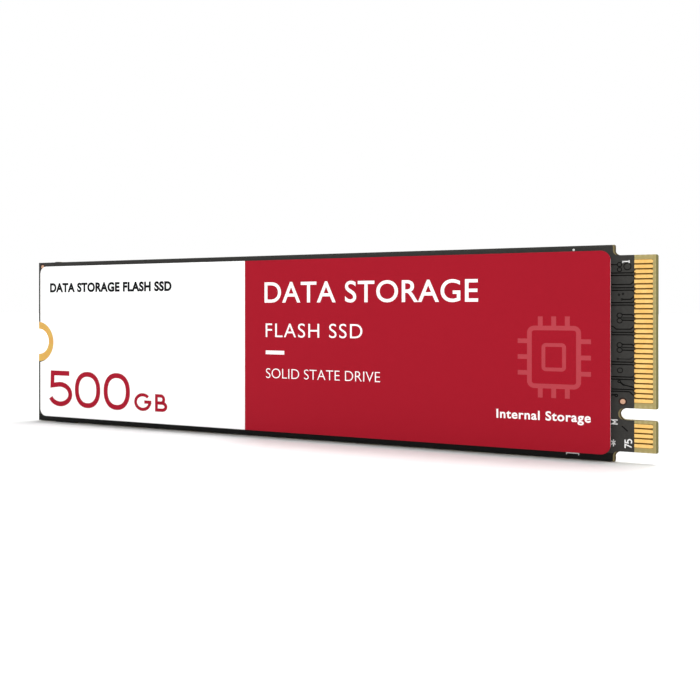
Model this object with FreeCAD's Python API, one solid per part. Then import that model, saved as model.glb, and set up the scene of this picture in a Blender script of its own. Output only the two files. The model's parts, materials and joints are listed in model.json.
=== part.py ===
import FreeCAD, Part

import math
import os

# A solid state drive on a bare board, 80 mm by 22 mm, with one row of parts on its front.
# Millimetres. +X runs along the board towards the contacts, +Z across it, and the parts are on
# the -Y side. The origin is the centre of the half-round screw notch, at mid thickness.

# ---- driving dimensions -------------------------------------------------------------------

CARD_LENGTH = 80.0
CARD_WIDTH = 22.0
LAMINATE_THICKNESS = 0.73
NOTCH_RADIUS = 1.75            # inside the plating
NOTCH_PAD_RADIUS = 2.75
TONGUE_LENGTH = 4.0
TONGUE_WIDTH = 19.85
KEY_SLOT_CENTRE = -6.125
KEY_SLOT_WIDTH = 1.2
KEY_SLOT_DEPTH = 3.5
STEP_FILLET = 0.5              # inside corner between shoulder and tongue
SHOULDER_CORNER = 0.15
TONGUE_CORNER = 0.2
TONGUE_CHAMFER = 0.14

COPPER = 0.018                 # a trace's thickness
PLATED_COPPER = 0.035          # a contact's or bare pad's thickness
MASK = 0.025                   # the mask's thickness on bare laminate
MASK_OVER_COPPER = 0.040       # height of the mask's face over a trace
MASK_SHIFT = 0.28              # the mask is printed this much off towards the notch
SILK = 0.012

CONTACT_PITCH = 0.5
CONTACT_WIDTH = 0.35
CONTACT_START = 77.75          # also where the mask ends
CONTACT_END = 79.5
CONTACT_TIP_RADIUS = 0.12
NECK_LENGTH = 0.10             # a signal contact narrows to its trace here
NECK_WIDTH = 0.15
LAST_PIN = 75
MIDDLE_PIN = 38                # on the board's centre line
KEYED_PINS = range(59, 67)
PAIR_PINS = (5, 11, 17, 23, 29, 35, 41, 47, 53)
SUPPLY_PIN_GROUPS = ((2, 4), (12, 14, 16, 18), (70, 72, 74))

TRACE_WIDTH = 0.12
TRACE_RISE = 0.03              # the mask's cover at each side of a trace
PAIR_SPACING = 0.25
TRACE_LEFT_END = 74.9
VIA_RADIUS = 0.11
VIA_RING_RADIUS = 0.25
STITCH_ROW = 10.55             # distance of the edge vias from the centre line
STITCH_STEP = 4.0

BALL_HEIGHT = 0.20
SUBSTRATE = 0.20
MOULD = 0.64
PACKAGE_TOP = MASK + BALL_HEIGHT + SUBSTRATE + MOULD

LABEL_LEFT = 1.42
LABEL_RIGHT = 75.55
LABEL_BOTTOM = -10.15
LABEL_TOP = 10.35
LABEL_CORNER = 1.0
LABEL_CUTOUT_X = 0.95
LABEL_CUTOUT_RADIUS = 2.8
LABEL_GLUE = 0.05
LABEL_FILM = 0.10

BACK_LABEL_LEFT = 10.0
BACK_LABEL_LENGTH = 50.0
BACK_LABEL_WIDTH = 17.0

FRONT = -1
BACK = 1
HALF_BOARD = LAMINATE_THICKNESS / 2
HALF_WIDTH = CARD_WIDTH / 2
STEP_X = CARD_LENGTH - TONGUE_LENGTH


# ---- shapes in the board's plane ----------------------------------------------------------

def point(x, z):
    return FreeCAD.Vector(x, 0, z)


def line(a, b):
    return Part.LineSegment(point(*a), point(*b)).toShape()


def arc(a, middle, b):
    return Part.Arc(point(*a), point(*middle), point(*b)).toShape()


def face_of(edges):
    return Part.Face(Part.Wire(edges))


def polygon(points):
    closed = points + [points[0]]
    return face_of([line(a, b) for a, b in zip(closed, closed[1:])])


def disc(x, z, radius):
    circle = Part.Circle(point(x, z), FreeCAD.Vector(0, -1, 0), radius)
    return face_of([circle.toShape()])


def rectangle(x, z, length, width, corner=0.0):
    """A rectangle centred on (x, z), length along X, with round corners if corner is given."""
    left, right = x - length / 2, x + length / 2
    low, high = z - width / 2, z + width / 2
    if not corner:
        return polygon([(left, low), (right, low), (right, high), (left, high)])
    bulge = corner * (1 - math.sqrt(0.5))
    return face_of([
        line((left + corner, low), (right - corner, low)),
        arc((right - corner, low), (right - bulge, low + bulge), (right, low + corner)),
        line((right, low + corner), (right, high - corner)),
        arc((right, high - corner), (right - bulge, high - bulge), (right - corner, high)),
        line((right - corner, high), (left + corner, high)),
        arc((left + corner, high), (left + bulge, high - bulge), (left, high - corner)),
        line((left, high - corner), (left, low + corner)),
        arc((left, low + corner), (left + bulge, low + bulge), (left + corner, low)),
    ])


def ribbon(points, width):
    """A strip of constant width along a bent line, with mitred bends and square ends."""
    one_side = []
    other_side = []
    for i, (x, z) in enumerate(points):
        before = points[max(i - 1, 0)]
        after = points[min(i + 1, len(points) - 1)]
        into = unit(before, (x, z)) if i else unit((x, z), after)
        out_of = unit((x, z), after) if i < len(points) - 1 else into
        normal = (-(into[1] + out_of[1]), into[0] + out_of[0])
        scale = width / 2 / (1 + into[0] * out_of[0] + into[1] * out_of[1])
        one_side.append((x + normal[0] * scale, z + normal[1] * scale))
        other_side.append((x - normal[0] * scale, z - normal[1] * scale))
    return polygon(one_side + other_side[::-1])


def unit(a, b):
    length = math.hypot(b[0] - a[0], b[1] - a[1])
    return (b[0] - a[0]) / length, (b[1] - a[1]) / length


def layer(face, side, inner, outer):
    """A flat layer on one side of the laminate, between two heights over its face."""
    solid = face.extrude(FreeCAD.Vector(0, side * (outer - inner), 0))
    solid.translate(FreeCAD.Vector(0, side * (HALF_BOARD + inner), 0))
    return solid


def layers(faces, side, inner, outer):
    return [layer(face, side, inner, outer) for face in faces]


nodes = {}


def add(name, solids):
    nodes.setdefault(name, []).extend(solids)


# ---- board outline ------------------------------------------------------------------------

TAB_TOP = ((2.9, 3.0, 3.7, 4.0), 0.06)        # X of a tab's four corners, and its height
TAB_BOTTOM = ((3.0, 3.2, 6.7, 6.9), 0.08)


def corner_round(corner, before, after, radius):
    """Start, middle and end of the arc that rounds a square corner between two neighbours."""
    back = unit(corner, before)
    ahead = unit(corner, after)
    start = (corner[0] + back[0] * radius, corner[1] + back[1] * radius)
    end = (corner[0] + ahead[0] * radius, corner[1] + ahead[1] * radius)
    centre = (start[0] + ahead[0] * radius, start[1] + ahead[1] * radius)
    inward = unit(centre, corner)
    return start, (centre[0] + inward[0] * radius, centre[1] + inward[1] * radius), end


def board_outline(notch_radius):
    """The board's closed outline, anticlockwise from the notch's lower lip."""
    tongue = TONGUE_WIDTH / 2
    slot_low = KEY_SLOT_CENTRE - KEY_SLOT_WIDTH / 2
    slot_high = KEY_SLOT_CENTRE + KEY_SLOT_WIDTH / 2
    slot_centre_x = CARD_LENGTH - KEY_SLOT_DEPTH + KEY_SLOT_WIDTH / 2
    bottom = [(x, -HALF_WIDTH - h) for x, h in zip(TAB_BOTTOM[0], (0, TAB_BOTTOM[1], TAB_BOTTOM[1], 0))]
    top = [(x, HALF_WIDTH + h) for x, h in zip(TAB_TOP[0], (0, TAB_TOP[1], TAB_TOP[1], 0))]
    stations = [(point_xz, 0) for point_xz in [(0, -notch_radius), (0, -HALF_WIDTH)] + bottom]
    stations += [
        ((STEP_X, -HALF_WIDTH), SHOULDER_CORNER),
        ((STEP_X, -tongue), STEP_FILLET),
        ((CARD_LENGTH, -tongue), TONGUE_CORNER),
        ((CARD_LENGTH, slot_low), TONGUE_CORNER),
        ((slot_centre_x, slot_low), 0),
    ]
    after_slot = [
        ((slot_centre_x, slot_high), 0),
        ((CARD_LENGTH, slot_high), TONGUE_CORNER),
        ((CARD_LENGTH, tongue), TONGUE_CORNER),
        ((STEP_X, tongue), STEP_FILLET),
        ((STEP_X, HALF_WIDTH), SHOULDER_CORNER),
    ]
    after_slot += [(point_xz, 0) for point_xz in top[::-1] + [(0, HALF_WIDTH), (0, notch_radius)]]
    slot_end = arc((slot_centre_x, slot_low), (CARD_LENGTH - KEY_SLOT_DEPTH, KEY_SLOT_CENTRE),
                   (slot_centre_x, slot_high))
    notch = arc((0, notch_radius), (notch_radius, 0), (0, -notch_radius))
    return face_of(chain(stations) + [slot_end] + chain(after_slot) + [notch])


def chain(stations):
    """Edges through a list of (point, corner radius), rounding the corners that have a radius."""
    edges = []
    pen = stations[0][0]
    for i in range(1, len(stations)):
        corner, radius = stations[i]
        if radius:
            start, middle, end = corner_round(corner, stations[i - 1][0], stations[i + 1][0], radius)
            if math.dist(pen, start) > 1e-6:
                edges.append(line(pen, start))
            edges.append(arc(start, middle, end))
            pen = end
        else:
            edges.append(line(pen, corner))
            pen = corner
    return edges


def tongue_chamfer(side):
    """The wedge that bevels the tongue's end on one side, so that it slides into a socket."""
    run = 2 * TONGUE_CHAMFER
    y = side * HALF_BOARD
    corners = [
        FreeCAD.Vector(CARD_LENGTH - run, y, 0),
        FreeCAD.Vector(CARD_LENGTH + run, y - side * 2 * TONGUE_CHAMFER, 0),
        FreeCAD.Vector(CARD_LENGTH + run, y, 0),
    ]
    wedge = Part.Face(Part.makePolygon(corners + corners[:1]))
    wedge.translate(FreeCAD.Vector(0, 0, -HALF_WIDTH))
    return wedge.extrude(FreeCAD.Vector(0, 0, CARD_WIDTH))


# ---- contacts, traces and vias ------------------------------------------------------------

def pin_z(pin):
    return (MIDDLE_PIN - pin) * CONTACT_PITCH / 2


def pins(first):
    return [pin for pin in range(first, LAST_PIN + 1, 2) if pin not in KEYED_PINS]


def signal_pins():
    return [pin for first in PAIR_PINS for pin in (first, first + 2)]


def contact_outline(pin):
    """A contact finger. One on a signal pair narrows to a neck before the mask."""
    neck = NECK_LENGTH if pin in signal_pins() or pin % 2 == 0 else 0
    z = pin_z(pin)
    half = CONTACT_WIDTH / 2
    left = CONTACT_START + neck
    tip = CONTACT_TIP_RADIUS
    bulge = tip * (1 - math.sqrt(0.5))
    finger = face_of([
        line((left, z - half), (CONTACT_END - tip, z - half)),
        arc((CONTACT_END - tip, z - half), (CONTACT_END - bulge, z - half + bulge),
            (CONTACT_END, z - half + tip)),
        line((CONTACT_END, z - half + tip), (CONTACT_END, z + half - tip)),
        arc((CONTACT_END, z + half - tip), (CONTACT_END - bulge, z + half - bulge),
            (CONTACT_END - tip, z + half)),
        line((CONTACT_END - tip, z + half), (left, z + half)),
        line((left, z + half), (left, z - half)),
    ])
    if not neck:
        return finger
    neck_face = rectangle(CONTACT_START + neck / 2, z, neck, NECK_WIDTH)
    return finger.fuse(neck_face).removeSplitter().Faces[0]


BEND = 0.05                        # a trace runs straight this far before it bends


def jog(pin, z, left):
    """A trace that leaves its contact, slants across to z, and runs on to left."""
    start = pin_z(pin)
    bend = CONTACT_START - BEND
    return [(CONTACT_START, start), (bend, start), (bend - abs(z - start), z), (left, z)]


def straight_pairs():
    """The signal pairs that close up and run on side by side under the label."""
    paths = []
    for first in (5, 11, 17, 29, 41, 47):
        centre = pin_z(first + 1)
        paths.append(jog(first, centre + PAIR_SPACING / 2, TRACE_LEFT_END))
        paths.append(jog(first + 2, centre - PAIR_SPACING / 2, TRACE_LEFT_END))
    paths.append(jog(53, -3.63, TRACE_LEFT_END))
    paths.append(jog(55, -3.85, TRACE_LEFT_END))
    return paths


VIA_COLUMN = 76.36
PAIR_VIA_Z = {23: 3.83, 25: 3.31, 35: 0.84, 37: 0.33}          # pairs that go down by the contacts
PAIR_VIA_RUN = {23: 3.92, 25: 3.35, 35: 0.92, 37: 0.33}        # the height their traces run at
GROUND_VIAS = {3: (77.1, 8.77), 21: (77.15, 4.35), 33: (77.15, 1.30), 45: (76.4, -1.72),
               51: (77.1, -3.20), 71: (76.9, -8.20)}
BIG_GROUND_PIN = 3
BIG_RING_RADIUS = 0.33
LOOSE_VIAS = ((76.35, 8.98), (76.35, 8.47), (76.30, 5.93), (76.68, 6.02), (76.58, 5.45), (76.20, -0.57))
LOOSE_RING_RADIUS = 0.17


def via_pairs():
    """The signal pairs that end in vias close to the contacts."""
    return [jog(pin, PAIR_VIA_RUN[pin], VIA_COLUMN + 0.12) for pin in PAIR_VIA_Z]


def ground_traces():
    paths = [[(CONTACT_START, pin_z(pin)), (CONTACT_START - BEND, pin_z(pin)), via]
             for pin, via in GROUND_VIAS.items()]
    beside_pair = jog(27, 2.44, 76.05)
    paths.append(beside_pair + [(75.75, 2.70), (TRACE_LEFT_END, 2.70)])
    paths.append(jog(9, 6.96, TRACE_LEFT_END))
    paths.append(jog(15, 5.45, 76.62))
    paths.append(jog(39, -0.57, 76.24))
    paths.append([(CONTACT_START - 0.1, pin_z(75)), (CONTACT_START - 0.1, pin_z(71))])
    paths.append([(76.31, 8.98), (TRACE_LEFT_END, 8.98)])
    paths.append([(76.40, 8.48), (77.0, 8.72)])
    return paths


def front_vias():
    """Places and ring radii of the vias between the contacts and the label."""
    rings = [(VIA_COLUMN, z, VIA_RING_RADIUS) for z in PAIR_VIA_Z.values()]
    for pin, (x, z) in GROUND_VIAS.items():
        rings.append((x, z, BIG_RING_RADIUS if pin == BIG_GROUND_PIN else VIA_RING_RADIUS))
    return rings + [(x, z, LOOSE_RING_RADIUS) for x, z in LOOSE_VIAS]


def back_via(pin):
    stagger = (pin // 2) % 2
    return CONTACT_START - 0.65 - 0.5 * stagger, pin_z(pin), VIA_RING_RADIUS


def back_signal_pins():
    supply = [pin for group in SUPPLY_PIN_GROUPS for pin in group]
    return [pin for pin in pins(2) if pin not in supply]


def back_traces():
    paths = []
    for pin in back_signal_pins():
        x, z, radius = back_via(pin)
        paths.append([(CONTACT_START, z), (x + radius * 0.6, z)])
    return paths


SUPPLY_POUR_LENGTH = 2.4


def supply_pours():
    """The wide copper that joins each group of supply contacts."""
    pours = []
    for group in SUPPLY_PIN_GROUPS:
        high = pin_z(group[0]) + CONTACT_WIDTH / 2
        low = pin_z(group[-1]) - CONTACT_WIDTH / 2
        pours.append(rectangle(CONTACT_START - SUPPLY_POUR_LENGTH / 2, (high + low) / 2,
                               SUPPLY_POUR_LENGTH, high - low))
    return pours


def stitch_vias():
    count = int((TRACE_LEFT_END - 6) / STITCH_STEP) + 1
    row = [6 + i * STITCH_STEP for i in range(count)]
    return [(x, sign * STITCH_ROW, VIA_RING_RADIUS) for sign in (1, -1) for x in row]


def copper_faces(paths, rings, extra_width=0.0):
    """Outlines of traces and via rings, wider by extra_width."""
    faces = [ribbon(path, TRACE_WIDTH + extra_width) for path in paths]
    faces += [disc(x, z, radius + extra_width / 2) for x, z, radius in rings]
    return faces


# ---- bare copper: marks and test pads -----------------------------------------------------

FIDUCIAL_RADIUS = 0.25
FIDUCIAL_OPENING = 0.40
FRONT_FIDUCIALS = ((76.66, -4.87), (0.68, 10.42))
BACK_FIDUCIALS = ((74.6, 10.2), (1.2, -10.2))
TEST_PAD_RADIUS = 0.45
TEST_PAD_OPENING = 0.52


def test_pads():
    rows = [(64.0 + 1.6 * i, sign * 3.0) for sign in (1, -1) for i in range(6)]
    return rows + [(6.4, sign * z) for sign in (1, -1) for z in (5.0, 6.8)]


def solder_mask(side, outline, openings, copper):
    """The mask on one side: open over bare copper, raised over traces.

    It is printed a little off towards the notch, so the edges that face the contacts show a
    bare rim, and the others are covered up to the edge.
    """
    printed = outline.copy()
    printed.translate(point(-MASK_SHIFT, 0))
    beyond = rectangle(CONTACT_START + TONGUE_LENGTH / 2, 0, TONGUE_LENGTH, CARD_WIDTH + 2)
    sheet = outline.common(printed).cut([beyond] + openings)
    flat = layer(sheet.Faces[0], side, 0, MASK)
    ribs = layers(copper["cover"], side, 0, MASK_OVER_COPPER)
    clip = layer(sheet.Faces[0], side, 0, MASK_OVER_COPPER)
    ribs = [rib.common(clip) for rib in ribs]
    raised = flat.multiFuse(ribs)
    return raised.cut(copper["solids"]).removeSplitter()


# ---- packages with solder balls -----------------------------------------------------------

def grid(columns, rows):
    return [(x, z) for x in columns for z in rows]


def mirrored(values):
    return [-value for value in values[::-1]] + list(values)


def steps(first, pitch, count):
    return [first + pitch * i for i in range(count)]


def ball_package(name, x, z, size, balls, ball_radius, dies):
    """A moulded package: balls, substrate, dies, and the mould that is cast over the dies.

    balls holds places relative to the centre, and dies the length, width, thickness and
    sideways step of each die from the substrate up.
    """
    base = MASK + BALL_HEIGHT
    deck = base + SUBSTRATE
    body = rectangle(x, z, *size)
    ball_faces = [disc(x + dx, z + dz, ball_radius) for dx, dz in balls]
    stack = []
    height = deck
    for length, width, thickness, shift in dies:
        stack.append(layer(rectangle(x + shift, z, length, width), FRONT, height, height + thickness))
        height += thickness
    mark_x = x - size[0] / 2 + 1.2
    mark_z = z + size[1] / 2 - 1.2
    mark = layer(disc(mark_x, mark_z, 0.45), FRONT, PACKAGE_TOP - 0.03, PACKAGE_TOP)
    mould = layer(body, FRONT, deck, PACKAGE_TOP).cut(stack + [mark])
    add(name + "_mould", [mould])
    add(name + "_substrate", [layer(body, FRONT, base, deck)])
    add(name + "_dies", stack)
    add(name + "_solder_balls", layers(ball_faces, FRONT, MASK, base))


NAND_SIZE = (14.0, 18.0)
NAND_X = (11.6, 65.5)
NAND_DIE = (10.6, 12.8, 0.10)
NAND_DIE_COUNT = 4
CONTROLLER_SIZE = (15.0, 15.0)
CONTROLLER_X = 41.0
DRAM_SIZE = (9.0, 14.0)
DRAM_X = 53.6


def flash_packages():
    balls = grid(steps(-5.0, 1.0, 11), mirrored(steps(1.5, 1.0, 6)))
    dies = [NAND_DIE + (0.35 * (i - 1.5),) for i in range(NAND_DIE_COUNT)]
    for i, x in enumerate(NAND_X, start=1):
        ball_package(f"nand_{i}", x, 0, NAND_SIZE, balls, 0.22, dies)


def controller():
    pitch = 0.8
    lines = steps(-7.5 * pitch, pitch, 16)
    field = grid(lines, lines)
    outer = 4.6 * pitch
    inner = 2.6 * pitch
    balls = [
        (x, z) for x, z in field
        if max(abs(x), abs(z)) > outer or max(abs(x), abs(z)) < inner
    ]
    ball_package("controller", CONTROLLER_X, 0, CONTROLLER_SIZE, balls, 0.2, [(7.2, 7.2, 0.35, 0)])


def dram():
    balls = grid(mirrored(steps(1.6, 0.8, 3)), steps(-6.0, 0.8, 16))
    ball_package("dram", DRAM_X, 0, DRAM_SIZE, balls, 0.2, [(6.2, 9.6, 0.25, 0)])


# ---- leadless chips -----------------------------------------------------------------------

LEAD_HEIGHT = 0.10


def leadless_chip(x, z, size, height, pitch, lead, sides):
    """A flat chip on edge leads, with a heat pad if it has leads on all four sides."""
    length, width = size
    leads = []
    for along_x in (True, False)[:sides // 2]:
        span = length if along_x else width
        count = round((span - 2 * pitch) / pitch) + 1
        start = -(count - 1) * pitch / 2
        for i in range(count):
            for sign in (1, -1):
                offset = start + i * pitch
                reach = sign * ((width if along_x else length) / 2 - lead / 2 + 0.05)
                place = (x + offset, z + reach) if along_x else (x + reach, z + offset)
                shape = (pitch * 0.5, lead) if along_x else (lead, pitch * 0.5)
                leads.append(rectangle(*place, *shape))
    if sides == 4:
        leads.append(rectangle(x, z, length - 4 * lead, width - 4 * lead))
    base = MASK + LEAD_HEIGHT
    body = layer(rectangle(x, z, length, width), FRONT, base, MASK + height)
    return body, layers(leads, FRONT, MASK, base)


LOAD_SWITCHES = ((28.6, 9.2), (32.0, -6.4))


def leadless_chips():
    body, leads = leadless_chip(23.2, 4.6, (5.0, 5.0), 0.85, 0.5, 0.4, 4)
    add("power_ic_body", [body])
    add("power_ic_leads", leads)
    body, leads = leadless_chip(30.6, 2.2, (4.0, 3.0), 0.75, 0.8, 0.5, 2)
    add("boot_flash_body", [body])
    add("boot_flash_leads", leads)
    switches = [leadless_chip(x, z, (2.0, 2.0), 0.70, 0.5, 0.35, 2) for x, z in LOAD_SWITCHES]
    add("load_switch_bodies", [body for body, leads in switches])
    add("load_switch_leads", [lead for body, leads in switches for lead in leads])


# ---- two-ended parts ----------------------------------------------------------------------

FILLET_REACH = 0.14


def two_ended(x, z, size, along, end):
    """A part with a metal cap at each end, and the solder fillet at each cap's foot."""
    length, width, height = size
    caps = []
    for sign in (1, -1):
        offset = sign * (length - end) / 2
        foot = sign * length / 2
        if along == "x":
            caps.append(rectangle(x + offset, z, end, width))
        else:
            caps.append(rectangle(x, z + offset, width, end))
        add("solder_fillets", [fillet(x, z, foot, sign, width, height * 0.6, along)])
    middle = (length - 2 * end, width) if along == "x" else (width, length - 2 * end)
    body = layer(rectangle(x, z, *middle), FRONT, MASK, MASK + height)
    return body, layers(caps, FRONT, MASK, MASK + height)


def fillet(x, z, foot, sign, width, height, along):
    """The wedge of solder at one end of a part: full height at the cap, none at its reach."""
    y = -(HALF_BOARD + MASK)
    profile = [(foot, y), (foot + sign * FILLET_REACH, y), (foot, y - height)]
    if along == "x":
        corners = [FreeCAD.Vector(x + u, v, z - width / 2) for u, v in profile]
        sweep = FreeCAD.Vector(0, 0, width)
    else:
        corners = [FreeCAD.Vector(x - width / 2, v, z + u) for u, v in profile]
        sweep = FreeCAD.Vector(width, 0, 0)
    return Part.Face(Part.makePolygon(corners + corners[:1])).extrude(sweep)


def two_ended_group(bodies_name, ends_name, places, size, along, end):
    """A group of alike parts. places holds (x, z), and along says which way they all lie."""
    parts = [two_ended(x, z, size, along, end) for x, z in places]
    add(bodies_name, [body for body, caps in parts])
    add(ends_name, [cap for body, caps in parts for cap in caps])


SMALL_CAP = (1.0, 0.5, 0.5)
LARGE_CAP = (2.0, 1.25, 0.9)
RESISTOR = (1.0, 0.5, 0.35)


def ceramic_capacitors():
    names = ("ceramic_capacitor_bodies", "ceramic_capacitor_ends")
    by_flash = [(x + dx, sign * 9.95) for x in NAND_X for dx in (-5, -2, 2, 5) for sign in (1, -1)]
    by_controller = [(x, sign * 8.6) for x in steps(35.0, 2.0, 7) for sign in (1, -1)]
    by_dram = [(x, sign * 8.4) for x in steps(50.6, 2.0, 4) for sign in (1, -1)]
    sending_pairs = PAIR_PINS[0:8:2]
    in_pairs = [(74.2, pin_z(first + 1) + dz) for first in sending_pairs for dz in (0.35, -0.35)]
    two_ended_group(*names, by_flash + by_controller + by_dram + in_pairs, SMALL_CAP, "x", 0.25)
    by_power = [(x, -9.0) for x in steps(20.6, 2.8, 4)] + [(x, 9.2) for x in (20.6, 23.4)]
    two_ended_group(*names, by_power, LARGE_CAP, "x", 0.4)


def resistors():
    names = ("resistor_bodies", "resistor_ends")
    by_flash_chip = [(31.9, z) for z in steps(5.0, 1.2, 4)]
    by_switch = [(29.8, z) for z in steps(-7.6, 1.2, 3)]
    by_contacts = [(74.2, z) for z in (6.5, 3.5, 0.5, -2.6)]
    two_ended_group(*names, by_flash_chip + by_switch + by_contacts, RESISTOR, "x", 0.2)


def power_parts():
    coils = [(x, -1.4) for x in steps(21.0, 3.4, 3)] + [(29.2, 6.2)]
    two_ended_group("power_inductor_bodies", "power_inductor_ends", coils, (2.5, 2.0, 0.95), "x", 0.5)
    two_ended_group("bulk_capacitor_bodies", "bulk_capacitor_ends", [(21.6, -5.6), (26.2, -5.6)],
                    (3.5, 2.8, 0.95), "x", 0.7)
    two_ended_group("input_fuse_body", "input_fuse_ends", [(73.9, -7.6)], (3.2, 1.6, 0.6), "z", 0.5)
    two_ended_group("surge_diode_body", "surge_diode_ends", [(73.9, -4.4)], (1.7, 1.25, 0.7), "z", 0.3)


def crystal():
    x, z = 31.2, -2.6
    add("crystal_base", [layer(rectangle(x, z, 2.5, 2.0, 0.15), FRONT, MASK, MASK + 0.25)])
    add("crystal_lid", [layer(rectangle(x, z, 2.2, 1.7, 0.25), FRONT, MASK + 0.25, MASK + 0.55)])


# ---- printed marks and labels -------------------------------------------------------------

def silkscreen():
    """Corner marks round the flash packages, and a bracket and a dot at the board's edges."""
    marks = []
    for x in NAND_X:
        for sx in (-1, 1):
            for sz in (-1, 1):
                corner = (x + sx * (NAND_SIZE[0] / 2 + 0.25), sz * (NAND_SIZE[1] / 2 + 0.25))
                marks.append(ribbon([(corner[0] - sx, corner[1]), corner,
                                     (corner[0], corner[1] - sz)], 0.12))
    marks.append(ribbon([(71.2, -10.58), (71.2, -10.42), (72.4, -10.42), (72.4, -10.6)], 0.1))
    marks.append(disc(71.9, 10.6, 0.12))
    add("front_silkscreen", layers(marks, FRONT, MASK, MASK + SILK))


def labels():
    length = LABEL_RIGHT - LABEL_LEFT
    width = LABEL_TOP - LABEL_BOTTOM
    whole = rectangle(LABEL_LEFT + length / 2, LABEL_BOTTOM + width / 2, length, width, LABEL_CORNER)
    front = whole.cut(disc(LABEL_CUTOUT_X, 0, LABEL_CUTOUT_RADIUS)).Faces[0]
    glue_top = PACKAGE_TOP + LABEL_GLUE
    add("front_label_adhesive", [layer(front, FRONT, PACKAGE_TOP, glue_top)])
    add("front_label_film", [layer(front, FRONT, glue_top, glue_top + LABEL_FILM)])
    back = rectangle(BACK_LABEL_LEFT + BACK_LABEL_LENGTH / 2, 0, BACK_LABEL_LENGTH,
                     BACK_LABEL_WIDTH, LABEL_CORNER)
    add("back_label_adhesive", [layer(back, BACK, MASK, MASK + LABEL_GLUE)])
    add("back_label_film", [layer(back, BACK, MASK + LABEL_GLUE, MASK + LABEL_GLUE + LABEL_FILM)])


# ---- board --------------------------------------------------------------------------------

def notch_plating():
    """The ring on both faces and the plated wall between them, as one piece."""
    def half_ring(inner, outer):
        return face_of([
            arc((0, -outer), (outer, 0), (0, outer)),
            line((0, outer), (0, inner)),
            arc((0, inner), (inner, 0), (0, -inner)),
            line((0, -inner), (0, -outer)),
        ])
    wall = layer(half_ring(NOTCH_RADIUS, NOTCH_RADIUS + PLATED_COPPER), FRONT, -LAMINATE_THICKNESS, 0)
    rings = [layer(half_ring(NOTCH_RADIUS, NOTCH_PAD_RADIUS), side, 0, PLATED_COPPER)
             for side in (FRONT, BACK)]
    add("screw_notch_plating", [wall.multiFuse(rings).removeSplitter()])


def copper_layer(side, paths, rings, pours):
    """The copper of one side, and the outlines of the mask's cover over it."""
    pieces = layers(copper_faces(paths, rings) + pours, side, 0, COPPER)
    joined = pieces[0].multiFuse(pieces[1:]).removeSplitter()
    grown = [pour.makeOffset2D(TRACE_RISE) for pour in pours]
    cover = copper_faces(paths, rings, 2 * TRACE_RISE) + grown
    return {"solids": joined.Solids, "cover": cover}


def board():
    stitching = stitch_vias()
    back_via_places = [back_via(pin) for pin in back_signal_pins()]
    front_copper = copper_layer(FRONT, straight_pairs() + via_pairs() + ground_traces(),
                                front_vias() + stitching, [])
    back_copper = copper_layer(BACK, back_traces(), back_via_places + stitching, supply_pours())

    posts = [
        layer(disc(x, z, VIA_RADIUS), FRONT, -LAMINATE_THICKNESS, 0)
        for x, z, radius in front_vias() + back_via_places + stitching
    ]
    laminate = layer(board_outline(NOTCH_RADIUS + PLATED_COPPER), FRONT, -LAMINATE_THICKNESS, 0)
    laminate = laminate.cut(posts + [tongue_chamfer(FRONT), tongue_chamfer(BACK)])
    add("board_laminate", [laminate])
    add("plated_vias", posts)
    add("front_traces", front_copper["solids"])
    add("back_traces", back_copper["solids"])

    outline = board_outline(NOTCH_RADIUS)
    notch_opening = disc(0, 0, NOTCH_PAD_RADIUS + 0.05)
    front_openings = [notch_opening] + [disc(x, z, FIDUCIAL_OPENING) for x, z in FRONT_FIDUCIALS]
    back_openings = [notch_opening] + [disc(x, z, FIDUCIAL_OPENING) for x, z in BACK_FIDUCIALS]
    back_openings += [disc(x, z, TEST_PAD_OPENING) for x, z in test_pads()]
    add("front_solder_mask", [solder_mask(FRONT, outline, front_openings, front_copper)])
    add("back_solder_mask", [solder_mask(BACK, outline, back_openings, back_copper)])

    add("front_contacts", layers([contact_outline(pin) for pin in pins(1)], FRONT, 0, PLATED_COPPER))
    add("back_contacts", layers([contact_outline(pin) for pin in pins(2)], BACK, 0, PLATED_COPPER))
    front_dots = [disc(x, z, FIDUCIAL_RADIUS) for x, z in FRONT_FIDUCIALS]
    back_dots = [disc(x, z, FIDUCIAL_RADIUS) for x, z in BACK_FIDUCIALS]
    add("fiducial_marks", layers(front_dots, FRONT, 0, PLATED_COPPER)
        + layers(back_dots, BACK, 0, PLATED_COPPER))
    pads = [disc(x, z, TEST_PAD_RADIUS) for x, z in test_pads()]
    add("back_test_pads", layers(pads, BACK, 0, PLATED_COPPER))
    notch_plating()


# ---- assembly -----------------------------------------------------------------------------

def main():
    board()
    flash_packages()
    controller()
    dram()
    leadless_chips()
    ceramic_capacitors()
    resistors()
    power_parts()
    crystal()
    silkscreen()
    labels()
    os.makedirs("parts", exist_ok=True)
    for name, solids in nodes.items():
        shape = solids[0] if len(solids) == 1 else Part.makeCompound(solids)
        shape.exportStep(f"parts/{name}.step")
        print(f"{name}: {len(shape.Solids)} solids, {shape.Volume:.3f} mm3")


main()
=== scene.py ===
"""The looks of a solid state drive: a bare card with a printed label over its chips.

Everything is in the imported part's frame, in metres: +X along the card to the contacts, +Z
across it, the label on the -Y side. Sizes in millimetres are multiplied by MM.
"""

import json
import math
import random

import bmesh
import bpy
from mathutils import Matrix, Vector, noise
from mathutils.geometry import delaunay_2d_cdt

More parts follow.
